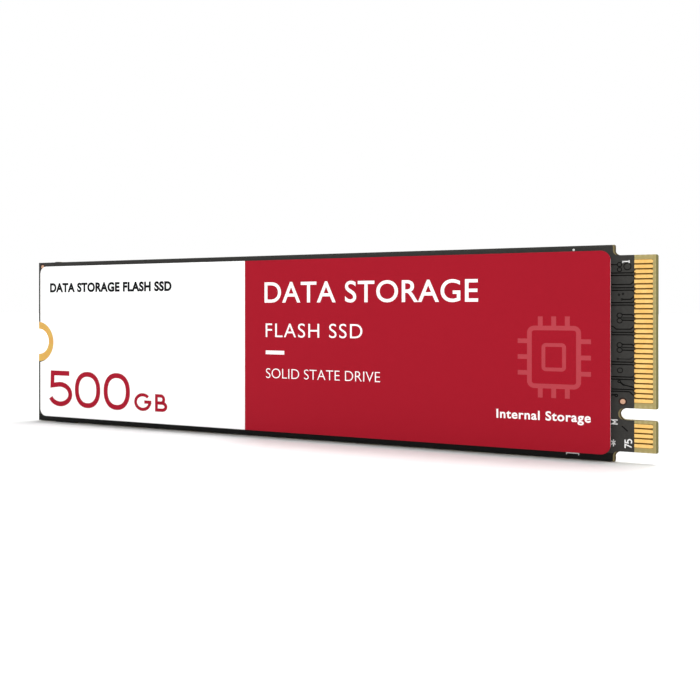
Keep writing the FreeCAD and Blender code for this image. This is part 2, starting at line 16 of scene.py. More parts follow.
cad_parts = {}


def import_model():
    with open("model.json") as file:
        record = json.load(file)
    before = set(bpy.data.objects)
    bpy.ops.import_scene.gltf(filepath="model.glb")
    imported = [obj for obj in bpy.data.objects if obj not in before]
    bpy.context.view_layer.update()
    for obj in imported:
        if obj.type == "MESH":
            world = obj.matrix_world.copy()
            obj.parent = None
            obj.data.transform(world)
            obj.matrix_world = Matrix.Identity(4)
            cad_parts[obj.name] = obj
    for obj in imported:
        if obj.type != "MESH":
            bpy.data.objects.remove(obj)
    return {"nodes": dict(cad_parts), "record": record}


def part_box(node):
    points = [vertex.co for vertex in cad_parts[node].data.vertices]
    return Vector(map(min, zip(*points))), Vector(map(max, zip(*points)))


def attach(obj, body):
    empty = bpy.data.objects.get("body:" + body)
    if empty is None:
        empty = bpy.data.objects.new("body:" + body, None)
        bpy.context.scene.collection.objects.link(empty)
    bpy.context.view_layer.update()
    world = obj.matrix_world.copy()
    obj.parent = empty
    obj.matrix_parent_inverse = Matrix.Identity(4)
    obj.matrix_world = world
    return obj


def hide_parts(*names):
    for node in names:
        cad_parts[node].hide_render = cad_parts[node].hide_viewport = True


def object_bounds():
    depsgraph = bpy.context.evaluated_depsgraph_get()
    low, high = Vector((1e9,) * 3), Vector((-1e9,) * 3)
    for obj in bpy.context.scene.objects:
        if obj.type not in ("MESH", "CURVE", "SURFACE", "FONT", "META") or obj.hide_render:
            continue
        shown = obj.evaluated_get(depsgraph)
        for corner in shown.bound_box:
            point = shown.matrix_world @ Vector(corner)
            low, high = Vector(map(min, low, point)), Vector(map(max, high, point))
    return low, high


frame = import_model()
cad_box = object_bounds()

MM = 0.001
NODES = frame["nodes"]


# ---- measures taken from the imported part, in millimetres ----

def box_mm(node):
    low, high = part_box(node)
    return low / MM, high / MM


film_low, film_high = box_mm("front_label_film")
back_film_low, back_film_high = box_mm("back_label_film")
mask_low, _ = box_mm("front_solder_mask")
contact_low, contact_high = box_mm("front_contacts")
_, back_contact_high = box_mm("back_contacts")
plating_low, plating_high = box_mm("screw_notch_plating")
_, fiducials_high = box_mm("fiducial_marks")
board_low, board_high = box_mm("board_laminate")

FIRST_PIN = 1                     # odd pins are on the front, even ones on the back
FIRST_BACK_PIN = 2
LAST_PIN = 75
MIDDLE_PIN = 38                   # where the board's centre line would be
KEYED_PINS = range(59, 67)        # cut away by the key slot
SIGNAL_PAIRS = (5, 11, 17, 23, 29, 35, 41, 47, 53)
SUPPLY_PINS = (2, 4, 12, 14, 16, 18, 70, 72, 74)
CONTACT_WIDTH = 0.35
HALF_PITCH = (contact_high.z - contact_low.z - CONTACT_WIDTH) / (LAST_PIN - FIRST_PIN)
NECK_LENGTH = 0.10
NECK_WIDTH = 0.15

NOTCH_RADIUS = 1.75
PLATING = 0.035                   # thickness of bare plated copper
STEP_X = 76.0                     # the shoulders beside the tongue
STEP_FILLET = 0.5
HALF_TONGUE = 9.925
SLOT_END_X = 76.5
SLOT_Z = -6.125
SLOT_HALF = 0.6
CHAMFER_RUN = 0.24                # the tongue's bevelled end
PAINTED_CUT_SHADE_WIDTH = 0.12                # width of the painted shade along a routed cut, standing in for its wall in shade
FIDUCIAL_RADIUS = 0.25
FIDUCIAL_OPENING = 0.42
FRONT_MARK_X = 0.68               # of the mark by the notch
FRONT_MARK_Z = -4.87              # of the mark by the key slot
MASK_FACE = 0.025                 # height of the mask over the laminate
MASK_OVER_COPPER = 0.040
FRONT_MASK_Y = mask_low.y + (MASK_OVER_COPPER - MASK_FACE)
BACK_MASK_Y = -FRONT_MASK_Y


def pin_z(pin):
    return HALF_PITCH * (MIDDLE_PIN - pin)


def pins(first):
    """The pins of one side, from its first."""
    return [pin for pin in range(first, LAST_PIN + 1, 2) if pin not in KEYED_PINS]


def routed_ends():
    """Centres and radii of the three round cuts beside the contacts, as ((x, z), radius)."""
    corner_x = STEP_X + STEP_FILLET
    corner_z = HALF_TONGUE + STEP_FILLET
    return (((SLOT_END_X + SLOT_HALF, SLOT_Z), SLOT_HALF),
            ((corner_x, corner_z), STEP_FILLET),
            ((corner_x, -corner_z), STEP_FILLET))


def fiducial_centres():
    """The two front marks, which reach the far sides of their node's box."""
    return ((fiducials_high.x - FIDUCIAL_RADIUS, FRONT_MARK_Z),
            (FRONT_MARK_X, fiducials_high.z - FIDUCIAL_RADIUS))


# ---- node materials ----

TEXTURE_MIDDLE = (0.3, 0.7)       # where most of a noise texture's values lie


class Surface:
    """A Principled material that is built up from procedural textures in millimetres."""

    def __init__(self, name, roughness=0.5, metallic=0.0, specular=0.5):
        self.name = name
        self.material = bpy.data.materials.new(name)
        self.material.use_nodes = True
        self.tree = self.material.node_tree
        self.tree.nodes.clear()
        output = self.add("ShaderNodeOutputMaterial")
        self.shader = self.add("ShaderNodeBsdfPrincipled")
        self.link(self.shader.outputs["BSDF"], output.inputs["Surface"])
        self.shader.inputs["Roughness"].default_value = roughness
        self.shader.inputs["Metallic"].default_value = metallic
        self.shader.inputs["Specular IOR Level"].default_value = specular
        self.coordinates = self.add("ShaderNodeTexCoord").outputs["Object"]
        self.bump_input = None

    def add(self, kind, **settings):
        node = self.tree.nodes.new(kind)
        for key, value in settings.items():
            setattr(node, key, value)
        return node

    def link(self, a, b):
        self.tree.links.new(a, b)

    def mapped(self, stretch=(1, 1, 1)):
        """Object coordinates in millimetres, squeezed along some axes."""
        mapping = self.add("ShaderNodeMapping")
        mapping.inputs["Scale"].default_value = [1 / MM * s for s in stretch]
        self.link(self.coordinates, mapping.inputs["Vector"])
        return mapping.outputs["Vector"]

    def noise(self, per_mm, detail=4.0, stretch=(1, 1, 1)):
        texture = self.add("ShaderNodeTexNoise")
        texture.inputs["Scale"].default_value = per_mm
        texture.inputs["Detail"].default_value = detail
        self.link(self.mapped(stretch), texture.inputs["Vector"])
        return texture.outputs["Fac"]

    def waves(self, per_mm, direction, distortion=0.0):
        texture = self.add("ShaderNodeTexWave", wave_type="BANDS", bands_direction=direction)
        texture.inputs["Scale"].default_value = per_mm
        texture.inputs["Distortion"].default_value = distortion
        self.link(self.mapped(), texture.inputs["Vector"])
        return texture.outputs["Fac"]

    def ramp(self, value, stops):
        """A colour ramp through (place, colour) stops."""
        ramp = self.add("ShaderNodeValToRGB")
        elements = ramp.color_ramp.elements
        for i, (place, colour) in enumerate(stops):
            element = elements[i] if i < 2 else elements.new(place)
            element.position = place
            element.color = (*colour, 1.0)
        self.link(value, ramp.inputs["Fac"])
        return ramp.outputs["Color"]

    def blend(self, share, a, b):
        """Colour a, turning to b as share rises from 0 to 1. Either may be a plain colour."""
        mix = self.add("ShaderNodeMix", data_type="RGBA")
        self.feed(share, mix.inputs[0])
        self.feed(a, mix.inputs[6])
        self.feed(b, mix.inputs[7])
        return mix.outputs[2]

    def feed(self, value, socket):
        if isinstance(value, bpy.types.NodeSocket):
            self.link(value, socket)
        elif isinstance(value, tuple):
            socket.default_value = (*value, 1.0)
        else:
            socket.default_value = value

    def math(self, operation, a, b=0.0):
        node = self.add("ShaderNodeMath", operation=operation)
        self.feed(a, node.inputs[0])
        self.feed(b, node.inputs[1])
        return node.outputs[0]

    def map_range(self, value, source, target):
        """Maps value from one range to another, and holds it at both ends."""
        node = self.add("ShaderNodeMapRange")
        self.link(value, node.inputs["Value"])
        node.inputs["From Min"].default_value, node.inputs["From Max"].default_value = source
        node.inputs["To Min"].default_value, node.inputs["To Max"].default_value = target
        return node.outputs["Result"]

    def spread(self, value, low, high):
        """Maps a texture's middle range to low..high."""
        return self.map_range(value, TEXTURE_MIDDLE, (low, high))

    def separate(self):
        """Object coordinates in millimetres, as x, y and z."""
        node = self.add("ShaderNodeSeparateXYZ")
        self.link(self.mapped(), node.inputs["Vector"])
        return node.outputs

    def colour(self, value):
        self.link(value, self.shader.inputs["Base Color"])
        return self

    def roughness(self, value):
        self.link(value, self.shader.inputs["Roughness"])
        return self

    def bump(self, height, depth_mm):
        """Adds a bump layer of the given depth over the ones before it."""
        node = self.add("ShaderNodeBump")
        node.inputs["Distance"].default_value = depth_mm * MM
        self.link(height, node.inputs["Height"])
        if self.bump_input:
            self.link(self.bump_input, node.inputs["Normal"])
        self.bump_input = node.outputs["Normal"]
        self.link(self.bump_input, self.shader.inputs["Normal"])
        return self


def shade(colour, factor):
    return tuple(min(c * factor, 1.0) for c in colour)


def grained(name, colour, roughness, grain_per_mm=6.0, contrast=0.12, depth_mm=0.004, **kwargs):
    """A plain matter with fine grain: mottled colour, uneven gloss and a slight bump."""
    surface = Surface(name, roughness=roughness, **kwargs)
    grain = surface.noise(grain_per_mm)
    cloud = surface.noise(grain_per_mm / 12, detail=2.0)
    dark, light = shade(colour, 1 - contrast), shade(colour, 1 + contrast)
    fine = surface.ramp(grain, [(0.3, dark), (0.7, light)])
    surface.colour(surface.blend(surface.spread(cloud, 0.0, 0.35), fine, dark))
    surface.roughness(surface.spread(grain, roughness - 0.05, roughness + 0.07))
    surface.bump(grain, depth_mm)
    return surface


def printed(name, colour, roughness=0.45):
    """Ink on a plastic film: even colour with a faint print screen and a soft satin face."""
    surface = Surface(name, roughness=roughness, specular=0.06)
    screen = surface.math("MULTIPLY", surface.waves(2.6, "X"), surface.waves(2.6, "Z"))
    base = surface.ramp(screen, [(0.0, shade(colour, 0.985)), (1.0, shade(colour, 1.015))])
    cloud = surface.noise(0.12, detail=3.0)
    surface.colour(surface.blend(surface.spread(cloud, 0.0, 0.5), base, shade(colour, 0.975)))
    pores = surface.noise(5.0, detail=6.0)
    surface.roughness(surface.spread(pores, roughness - 0.04, roughness + 0.05))
    surface.bump(pores, 0.0012)
    return surface


def plated(name, colour, warm, roughness, wipe_axis=(0.12, 1, 1)):
    """Plated metal: grain stretched by wiping, and patches of a warmer tone."""
    surface = Surface(name, roughness=roughness, metallic=1.0)
    patches = surface.noise(1.3, detail=3.0)
    wipes = surface.noise(22.0, detail=5.0, stretch=wipe_axis)
    base = surface.ramp(patches, [(0.35, colour), (0.72, warm)])
    surface.colour(surface.blend(surface.spread(wipes, 0.0, 0.25), base, shade(warm, 0.8)))
    surface.roughness(surface.spread(wipes, roughness - 0.06, roughness + 0.10))
    surface.bump(wipes, 0.0008)
    return surface


RED = (0.316, 0.0062, 0.0172)
CAPACITY_RED = (0.316, 0.0062, 0.0200)
WHITE = (0.90, 0.90, 0.90)
FAINT = (0.415, 0.048, 0.062)     # the emblem's pale red
BLACK_INK = (0.006, 0.006, 0.007)
GREY_INK = (0.22, 0.22, 0.23)
MASK_BLACK = (0.0335, 0.0325, 0.0300)


def mask_material(name, base_colour, specular):
    """Black solder mask: orange peel gloss with fine dust in it, and a painted shadow of the front
    label along its lower edge.
    """
    surface = Surface(name, roughness=0.38, specular=specular)
    peel = surface.noise(3.0, detail=2.0)
    dust = surface.noise(28.0, detail=3.0)
    base = surface.ramp(peel, [(0.3, shade(base_colour, 0.9)), (0.7, shade(base_colour, 1.1))])
    specks = surface.ramp(dust, [(0.62, (0, 0, 0)), (0.78, (1, 1, 1))])
    _, y, z = surface.separate()
    # painted shadow: on the front, the mask below the label's lower edge is darkened, standing in for
    # the label's overhang shading it
    painted_label_shadow = surface.math("MULTIPLY", surface.math("LESS_THAN", y, 0.0),
                              surface.math("LESS_THAN", z, film_low.z))
    matter = surface.blend(specks, base, shade(base_colour, 1.5))
    surface.colour(surface.blend(painted_label_shadow, matter, shade(base_colour, 0.12)))
    surface.roughness(surface.spread(dust, 0.30, 0.42))
    return surface.bump(peel, 0.003).bump(dust, 0.0015)


def distance_squared(surface, values, centre):
    """The square of the distance of two coordinates from a centre."""
    squares = [surface.math("POWER", surface.math("SUBTRACT", value, middle), 2.0)
               for value, middle in zip(values, centre)]
    return surface.math("ADD", *squares)


def near(surface, x, z, centre, radius):
    """1 within radius of a centre line that runs through the board, else 0, all in mm."""
    return surface.math("LESS_THAN", distance_squared(surface, (x, z), centre), radius ** 2)


def between(surface, value, low, high):
    """1 where value lies between low and high, else 0."""
    return surface.math("MULTIPLY", surface.math("GREATER_THAN", value, low),
                        surface.math("LESS_THAN", value, high))


LAMINATE_LIGHT = (0.410, 0.340, 0.155)
LAMINATE_DARK = (0.340, 0.280, 0.112)
CHAMFER_PAINTED_SHADE = (0.165, 0.150, 0.060)
RIM_TAN = (0.200, 0.160, 0.075)
CONTACT_GAP_PAINTED_SHADE = (0.085, 0.042, 0.003)     # painted shade between the fingers, warmer and darker than the laminate
# painted shade of the routed walls
PAINTED_CUT_WALL_SHADE = (0.055, 0.036, 0.012)
OPENING_BROWN = (0.020, 0.008, 0.006)     # resin in the mask's openings round the marks
CONTACT_MARGIN = 0.6 * CONTACT_WIDTH      # from an end finger's centre to the painted shade's edge


def laminate_face(surface, weave, x, z):
    """The woven face, with tones of its own left of the contacts and round the marks, and painted
    shade at the tongue's bevelled end, along the cuts and between the contacts.
    """
    face = surface.ramp(weave, [(0.0, LAMINATE_DARK), (1.0, LAMINATE_LIGHT)])
    face = surface.blend(surface.math("LESS_THAN", x, contact_low.x), face, RIM_TAN)
    # painted shade on the tongue's bevelled end, which faces away from the light
    chamfer = surface.math("GREATER_THAN", x, board_high.x - CHAMFER_RUN)
    face = surface.blend(chamfer, face, CHAMFER_PAINTED_SHADE)
    # painted shade along the shoulders and round cuts, standing in for the routed walls in shade
    step = surface.math("GREATER_THAN", x, STEP_X - PAINTED_CUT_SHADE_WIDTH)
    outside = surface.math("GREATER_THAN", surface.math("ABSOLUTE", z), HALF_TONGUE + STEP_FILLET)
    face = surface.blend(surface.math("MULTIPLY", step, outside), face, PAINTED_CUT_WALL_SHADE)
    for end, radius in routed_ends():
        left_of_it = surface.math("LESS_THAN", x, end[0])
        by_it = near(surface, x, z, end, radius + PAINTED_CUT_SHADE_WIDTH)
        face = surface.blend(surface.math("MULTIPLY", left_of_it, by_it), face, PAINTED_CUT_WALL_SHADE)
    # painted shade between the contacts, over the rows of fingers
    along = between(surface, x, contact_low.x, contact_high.x - 0.05)
    for first, last in ((FIRST_PIN, KEYED_PINS[0] - 2), (KEYED_PINS[-1] + 1, LAST_PIN)):
        across = between(surface, z, pin_z(last) - CONTACT_MARGIN, pin_z(first) + CONTACT_MARGIN)
        face = surface.blend(surface.math("MULTIPLY", along, across), face, CONTACT_GAP_PAINTED_SHADE)
    for centre in fiducial_centres():
        face = surface.blend(near(surface, x, z, centre, FIDUCIAL_OPENING), face, OPENING_BROWN)
    return face


def laminate_material():
    """Glass-fibre board: a woven face, and cut edges that show the plies."""
    surface = Surface("glass_fibre", roughness=0.55, specular=0.15)
    weave = surface.math("MULTIPLY", surface.waves(0.62, "X", 0.4), surface.waves(0.62, "Z", 0.4))
    x, _, z = surface.separate()
    face = laminate_face(surface, weave, x, z)
    plies = surface.ramp(surface.waves(1.9, "Y", 0.6),
                         [(0.25, shade(LAMINATE_DARK, 0.55)), (0.7, shade(LAMINATE_LIGHT, 0.85))])
    fibres = surface.noise(9.0, detail=5.0, stretch=(1, 0.25, 1))
    cut = surface.blend(surface.spread(fibres, 0.0, 0.4), plies, shade(LAMINATE_LIGHT, 1.2))
    normal = surface.add("ShaderNodeSeparateXYZ")
    surface.link(surface.add("ShaderNodeNewGeometry").outputs["Normal"], normal.inputs["Vector"])
    is_face = surface.math("GREATER_THAN", surface.math("ABSOLUTE", normal.outputs["Y"]), 0.6)
    surface.colour(surface.blend(is_face, cut, face))
    return surface.bump(weave, 0.002).bump(fibres, 0.004)


def mould_material():
    """Epoxy mould compound: near black with fine glassy specks."""
    surface = Surface("mould_compound", roughness=0.6, specular=0.35)
    grain = surface.noise(14.0, detail=5.0)
    specks = surface.add("ShaderNodeTexVoronoi")
    specks.inputs["Scale"].default_value = 11.0
    surface.link(surface.mapped(), specks.inputs["Vector"])
    base = surface.ramp(grain, [(0.3, (0.018, 0.018, 0.019)), (0.7, (0.034, 0.034, 0.036))])
    glint = surface.math("LESS_THAN", specks.outputs["Distance"], 0.12)
    surface.colour(surface.blend(glint, base, (0.09, 0.09, 0.092)))
    surface.roughness(surface.spread(grain, 0.52, 0.68))
    return surface.bump(grain, 0.004)


def make_materials():
    """Every finish, by its name."""
    gold = (0.86, 0.560, 0.190)
    warm = (0.83, 0.475, 0.135)
    made = (
        printed("red_print", RED),
        printed("white_print", WHITE),
        grained("film_core", (0.45, 0.36, 0.37), 0.6, contrast=0.08, depth_mm=0.001),
        printed("ink_white", WHITE, roughness=0.5),
        printed("ink_black", BLACK_INK, roughness=0.5),
        printed("ink_red", CAPACITY_RED, roughness=0.5),
        printed("ink_faint", FAINT),
        printed("ink_grey", GREY_INK, roughness=0.5),
        grained("silk", (0.80, 0.80, 0.79), 0.6, grain_per_mm=18.0, contrast=0.06,
                depth_mm=0.003),
        mask_material("solder_mask", MASK_BLACK, 0.12),
        # the ridges over traces and vias: partly the mask's own tone over copper, partly painted
        # shade standing in for their shaded flanks
        mask_material("mask_over_trace_painted_shade", shade(MASK_BLACK, 0.045), 0.02),
        laminate_material(),
        plated("gold", gold, warm, 0.30),
        plated("ring_gold", (0.63, 0.42, 0.10), (0.68, 0.36, 0.105), 0.34, (1, 1, 1)),
        plated("copper", (0.60, 0.37, 0.25), (0.50, 0.29, 0.20), 0.42, (1, 1, 1)),
        plated("solder", (0.62, 0.63, 0.64), (0.50, 0.50, 0.52), 0.32, (1, 1, 1)),
        plated("tin", (0.70, 0.70, 0.71), (0.60, 0.59, 0.58), 0.38, (1, 1, 1)),
        plated("lid", (0.72, 0.69, 0.62), (0.62, 0.59, 0.52), 0.28, (0.15, 1, 1)),
        mould_material(),
        grained("package_board", (0.030, 0.075, 0.038), 0.45, 9.0),
        grained("silicon", (0.10, 0.105, 0.13), 0.18, 4.0, 0.08, 0.0005),
        grained("glue", (0.55, 0.54, 0.48), 0.35, 3.0, 0.10, 0.004),
        grained("tan_ceramic", (0.30, 0.19, 0.115), 0.5, 14.0),
        grained("black_glaze", (0.012, 0.012, 0.014), 0.22, 8.0, 0.2, 0.002),
        grained("dark_case", (0.022, 0.022, 0.025), 0.5, 12.0),
        grained("iron_powder", (0.055, 0.055, 0.058), 0.55, 16.0, 0.3, 0.008),
        grained("pale_ceramic", (0.55, 0.55, 0.50), 0.5, 10.0),
        grained("crystal_ceramic", (0.30, 0.26, 0.20), 0.5, 10.0),
    )
    return {surface.name: surface.material for surface in made}


MATERIALS = make_materials()

FINISH_OF_SLOT = {                # the other slots have the finish of their own name
    "bare_copper": "copper", "gold_plating": "gold", "silk_ink": "silk",
    "label_print": "red_print", "back_label_print": "white_print", "label_glue": "glue",
    "tin_plating": "tin", "capacitor_ceramic": "tan_ceramic", "resistor_coat": "black_glaze",
    "moulded_case": "dark_case", "inductor_case": "iron_powder", "fuse_case": "pale_ceramic",
    "crystal_cover": "lid",
}


def dress_cad_nodes():
    """Every CAD node takes the finish of its material slot."""
    for part in frame["record"]["subparts"]:
        node = NODES[part["node"]]
        slot = part["material_slot"]
        node.data.materials.clear()
        node.data.materials.append(MATERIALS[FINISH_OF_SLOT.get(slot, slot)])


# ---- mesh helpers ----

def add_object(name, data):
    made = bpy.data.objects.new(name, data)
    bpy.context.scene.collection.objects.link(made)
    return made


def piece(name, points_mm, faces, finishes, face_finish=None, smooth=False):
    """A closed mesh in the part's frame, from points in millimetres, riding on the card."""
    mesh = bpy.data.meshes.new(name)
    mesh.from_pydata([Vector(p) * MM for p in points_mm], [], faces)
    for finish in finishes:
        mesh.materials.append(MATERIALS[finish])
    if face_finish:
        mesh.polygons.foreach_set("material_index", face_finish)
    mesh.polygons.foreach_set("use_smooth", [smooth] * len(mesh.polygons))
    mesh.validate()
    mesh.update()
    made = add_object(name, mesh)
    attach(made, "root")
    fix_normals(made)
    return made


class Solid:
    """Points and faces collected for one piece."""

    def __init__(self):
        self.points = []
        self.faces = []
        self.finish = []

    def row(self, points):
        """Adds points and returns their numbers."""
        start = len(self.points)
        self.points += points
        return list(range(start, len(self.points)))

    def ring(self, outline, y):
        """Adds an outline of (x, z) at depth y and returns its point numbers."""
        return self.row([(x, y, z) for x, z in outline])

    def bridge(self, a, b, finish=0):
        """Joins two rings of the same length with quads."""
        for i in range(len(a)):
            j = (i + 1) % len(a)
            self.face([a[i], a[j], b[j], b[i]], finish)

    def face(self, corners, finish=0):
        self.faces.append(corners)
        self.finish.append(finish)

    def make(self, name, finishes, smooth=False):
        return piece(name, self.points, self.faces, finishes, self.finish, smooth)


def fix_normals(made):
    work = bmesh.new()
    work.from_mesh(made.data)
    bmesh.ops.remove_doubles(work, verts=work.verts, dist=1e-8)
    bmesh.ops.recalc_face_normals(work, faces=work.faces)
    work.to_mesh(made.data)
    work.free()
    made.data.update()


def oval(x, z, rx, rz, start=0.0, end=360.0, steps=48, power=2.0):
    """Points round an oval; a power over 2 gives it flatter sides."""
    points = []
    for i in range(steps + 1):
        a = math.radians(start + (end - start) * i / steps)
        c, s = math.cos(a), math.sin(a)
        points.append((x + rx * math.copysign(abs(c) ** (2 / power), c),
                       z + rz * math.copysign(abs(s) ** (2 / power), s)))
    return points


def arc(x, z, radius, start, end, steps):
    """Points on an arc, angles in degrees, both ends included."""
    return oval(x, z, radius, radius, start, end, steps)


CORNER_STEPS = 10


def rounded_outline(left, right, low, high, radius):
    centres = ((right - radius, low + radius), (right - radius, high - radius),
               (left + radius, high - radius), (left + radius, low + radius))
    return [point for i, (x, z) in enumerate(centres)
            for point in arc(x, z, radius, 90 * i - 90, 90 * i, CORNER_STEPS)]


def raised_plate(solid, outline_at, y_base, y_face, bevel, edge_finish=0):
    """A plate whose face is drawn in by bevel. outline_at(inset) gives its outline."""
    step = math.copysign(bevel * 0.7, y_base - y_face)
    base = solid.ring(outline_at(0), y_base)
    shoulder = solid.ring(outline_at(0), y_face + step)
    middle = solid.ring(outline_at(bevel * 0.35), y_face + step * 0.3)
    face = solid.ring(outline_at(bevel), y_face)
    solid.bridge(base, shoulder, edge_finish)
    solid.bridge(shoulder, middle, edge_finish)
    solid.bridge(middle, face, edge_finish)
    solid.face(base[::-1], edge_finish)
    solid.face(face)


# ---- labels ----

LABEL_CORNER = 1.0
NOTCH_CUT_X = 0.95
NOTCH_CUT_RADIUS = 2.80
NOTCH_CUT_STEPS = 32
RED_STARTS = 33.7
CUT_EDGE = 0.02                   # the film's rolled cut edge
FILM_GRID = 1.0
GRID_MARGIN = 0.3                 # kept clear of grid points inside the outline
GRID_GAP = 0.2                    # and at each side of the line where the red starts
RELIEF = 0.012                    # how far the film dips between the packages
FIRST_HIGH = 11.6                 # over the first package the film lies high, and again
HIGH_PITCH = 13.5                 # at each step of this, about a package further on
RIPPLES_PER_MM = 0.22
EDGE_FADE = 2.0                   # the film is flat at its edge, and dips this far in
WHITE_PRINT, RED_PRINT, BARE_FILM_AND_PAINTED_HIGHLIGHT = range(3)      # places in the front label's finishes


def relief(x, z):
    """How far the film lies below flat: it sags a little between the packages under it."""
    gaps = 0.5 - 0.5 * math.cos(2 * math.pi * (x - FIRST_HIGH) / HIGH_PITCH)
    ripple = noise.noise(Vector((x * RIPPLES_PER_MM, 0.0, z * RIPPLES_PER_MM)))
    edge = min(x - film_low.x, film_high.x - x, z - film_low.z, film_high.z - z)
    return RELIEF * (0.6 * gaps + 0.4 * ripple) * min(max(edge / EDGE_FADE, 0.0), 1.0)


def label_outline(inset):
    """The front label: round corners and a half-round cut for the screw's ring."""
    left, right = film_low.x + inset, film_high.x - inset
    low, high = film_low.z + inset, film_high.z - inset
    radius = LABEL_CORNER - inset
    cut = NOTCH_CUT_RADIUS + inset
    lip = math.degrees(math.acos((left - NOTCH_CUT_X) / cut))
    return ([(RED_STARTS, low)]
            + arc(right - radius, low + radius, radius, -90, 0, CORNER_STEPS)
            + arc(right - radius, high - radius, radius, 0, 90, CORNER_STEPS)
            + [(RED_STARTS, high)]
            + arc(left + radius, high - radius, radius, 90, 180, CORNER_STEPS)
            + arc(NOTCH_CUT_X, 0, cut, lip, -lip, NOTCH_CUT_STEPS)
            + arc(left + radius, low + radius, radius, 180, 270, CORNER_STEPS))


def front_label():
    """The printed film: a white part and a red part, and a slight relief over the packages."""
    y_face, y_base = film_low.y, film_high.y
    solid = Solid()
    outer = label_outline(0)
    base = solid.ring(outer, y_base)
    shoulder = solid.ring(outer, y_face + CUT_EDGE * 0.8)
    solid.bridge(base, shoulder, BARE_FILM_AND_PAINTED_HIGHLIGHT)
    solid.face(base[::-1], BARE_FILM_AND_PAINTED_HIGHLIGHT)
    rim = film_face(solid, label_outline(CUT_EDGE), y_face)
    for i in range(len(rim)):
        j = (i + 1) % len(rim)
        x = (outer[i][0] + outer[j][0]) / 2
        solid.face([shoulder[i], shoulder[j], rim[j], rim[i]], print_at(x))
    label = solid.make("front_label", ["white_print", "red_print", "film_core"])
    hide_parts("front_label_film")


def film_face(solid, outline, y_face):
    """Fills the film's face with triangles, and returns the point numbers of its rim."""
    count = len(outline)
    margin = label_outline(CUT_EDGE + GRID_MARGIN)
    inside = [(x, z) for x, z in grid_points() if is_inside(x, z, margin)]
    flat = [Vector(p) for p in outline + inside]
    rim_edges = [(i, (i + 1) % count) for i in range(count)]
    red_edge = (0, CORNER_STEPS * 2 + 3)      # from the outline's first point to the one over it
    points, _, faces, sources, _, _ = delaunay_2d_cdt(flat, rim_edges + [red_edge], [], 1, 1e-6)
    numbers = solid.row([(p.x, y_face + relief(p.x, p.y), p.y) for p in points])
    for corners in faces:
        x = sum(points[i].x for i in corners) / len(corners)
        solid.face([numbers[i] for i in corners], print_at(x))
    place = {source: number for number, given in zip(numbers, sources) for source in given}
    return [place[i] for i in range(count)]


def print_at(x):
    """White left of the line where the red starts, and bare film on the end by the contacts, where
    its pale tone is a painted highlight along the label's edge.
    """
    # painted highlight: the rolled edge at the label's end by the contacts takes the pale film core's
    # finish
    if x > film_high.x - CUT_EDGE / 2:
        return BARE_FILM_AND_PAINTED_HIGHLIGHT
    return RED_PRINT if x > RED_STARTS else WHITE_PRINT


def grid_points():
    """A square grid over the label, with a gap along the line where the red starts."""
    columns = int((film_high.x - film_low.x) / FILM_GRID)
    rows = int((film_high.z - film_low.z) / FILM_GRID)
    xs = [film_low.x + FILM_GRID * (i + 0.5) for i in range(columns)]
    zs = [film_low.z + FILM_GRID * (j + 0.5) for j in range(rows)]
    return [(x, z) for x in xs for z in zs if abs(x - RED_STARTS) > GRID_GAP]


def is_inside(x, z, outline):
    """Whether a point lies in an outline, by counting the edges to its right."""
    inside = False
    for (x1, z1), (x2, z2) in zip(outline, outline[1:] + outline[:1]):
        if (z1 > z) != (z2 > z) and x < x1 + (x2 - x1) * (z - z1) / (z2 - z1):
            inside = not inside
    return inside


def back_label():
    """The plain rating label on the back."""
    def outline_at(inset):
        return rounded_outline(back_film_low.x + inset, back_film_high.x - inset,
                               back_film_low.z + inset, back_film_high.z - inset,
                               LABEL_CORNER - inset)
    solid = Solid()
    raised_plate(solid, outline_at, back_film_low.y, back_film_high.y, CUT_EDGE, edge_finish=1)
    label = solid.make("back_label", ["white_print", "film_core"])
    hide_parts("back_label_film")


# ---- lettering and printed marks ----

class Page:
    """A face that is printed on: where it is, and which way its text runs, as (x, z) steps."""

    def __init__(self, y, outward, along=(1, 0), up=(0, 1), dips=None, slot="label_print"):
        self.y = y
        self.outward = outward
        self.along = along
        self.up = up
        self.dips = dips
        self.slot = slot

    def at(self, x, z, u, v):
        """The place u along the text and v above its start at (x, z)."""
        return (x + u * self.along[0] + v * self.up[0], z + u * self.along[1] + v * self.up[1])

    def point(self, x, z, height):
        """The place at a height over the face."""
        dip = self.dips(x, z) if self.dips else 0.0
        return x, self.y - self.outward * dip + self.outward * height, z


LABEL_PAGE = Page(film_low.y, -1, dips=relief)
BACK_LABEL_PAGE = Page(back_film_high.y, 1, along=(-1, 0), slot="back_label_print")
MASK_PAGE = Page(FRONT_MASK_Y, -1, along=(0, 1), up=(-1, 0), slot="silk_ink")
BACK_MASK_PAGE = Page(BACK_MASK_Y, 1, along=(0, 1), up=(1, 0), slot="silk_ink")

CAPITAL = 0.682                   # capital height of the built-in face, for a size of 1
INK = 0.008                       # how far ink stands on the film


